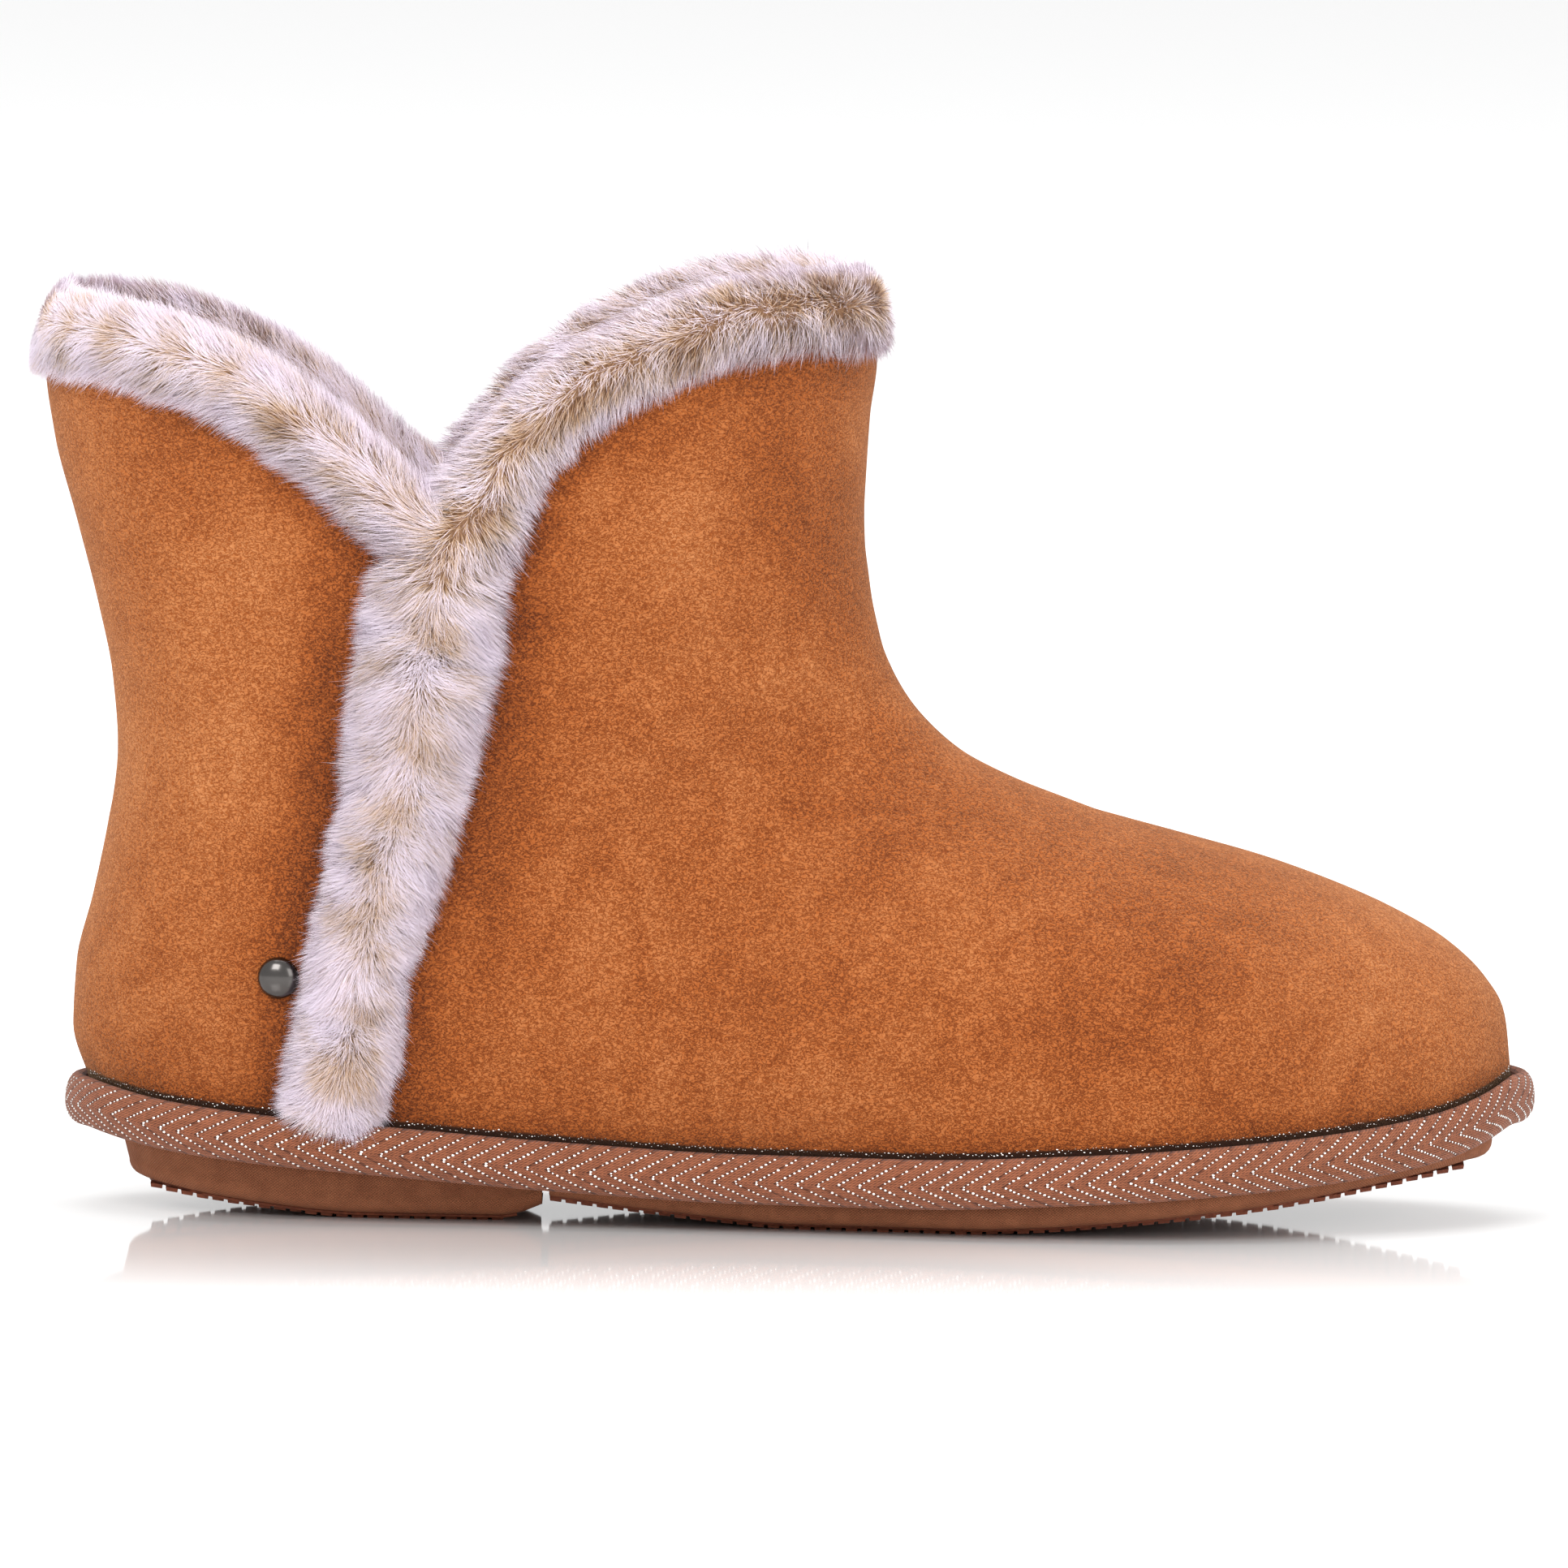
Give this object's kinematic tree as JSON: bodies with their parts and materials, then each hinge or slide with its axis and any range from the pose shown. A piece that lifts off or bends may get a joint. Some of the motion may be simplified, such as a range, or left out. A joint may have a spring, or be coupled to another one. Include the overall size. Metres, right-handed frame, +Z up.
{
  "type": "bootie slipper",
  "caption": "Ankle-high bootie slipper in tan suedette with faux-fur collar and side strips, braid-bound canvas sole, low heel wedge and nubbed rubber treads; stands empty on its sole.",
  "frame": {"origin": "on the floor at the centre of the flat spot under the heel", "axes": "+X to the toe, +Z up, -Y to the outer side of the right foot"},
  "size_m": [0.2731, 0.095, 0.173],
  "materials": {
    "suedette": "brushed tan microsuede with mottled nap",
    "plush_lining": "short soft pile",
    "canvas": "fine plain weave, matte",
    "braid_tape": "herringbone tape with metallic thread",
    "tread_rubber": "matte moulded rubber",
    "faux_fur": "deep soft pile, pale tips over tan roots",
    "gunmetal": "polished dark metal"
  },
  "bodies": {
    "root": {"upper": "suedette", "insole": "plush_lining", "sole_platform": "canvas", "forefoot_base": "canvas", "heel_wedge": "canvas", "braid_binding": "braid_tape", "forefoot_tread": "tread_rubber", "heel_tread": "tread_rubber", "fur_band_front": "faux_fur", "fur_cuff_rear": "faux_fur", "stud": "gunmetal"}
  },
  "joints": []
}
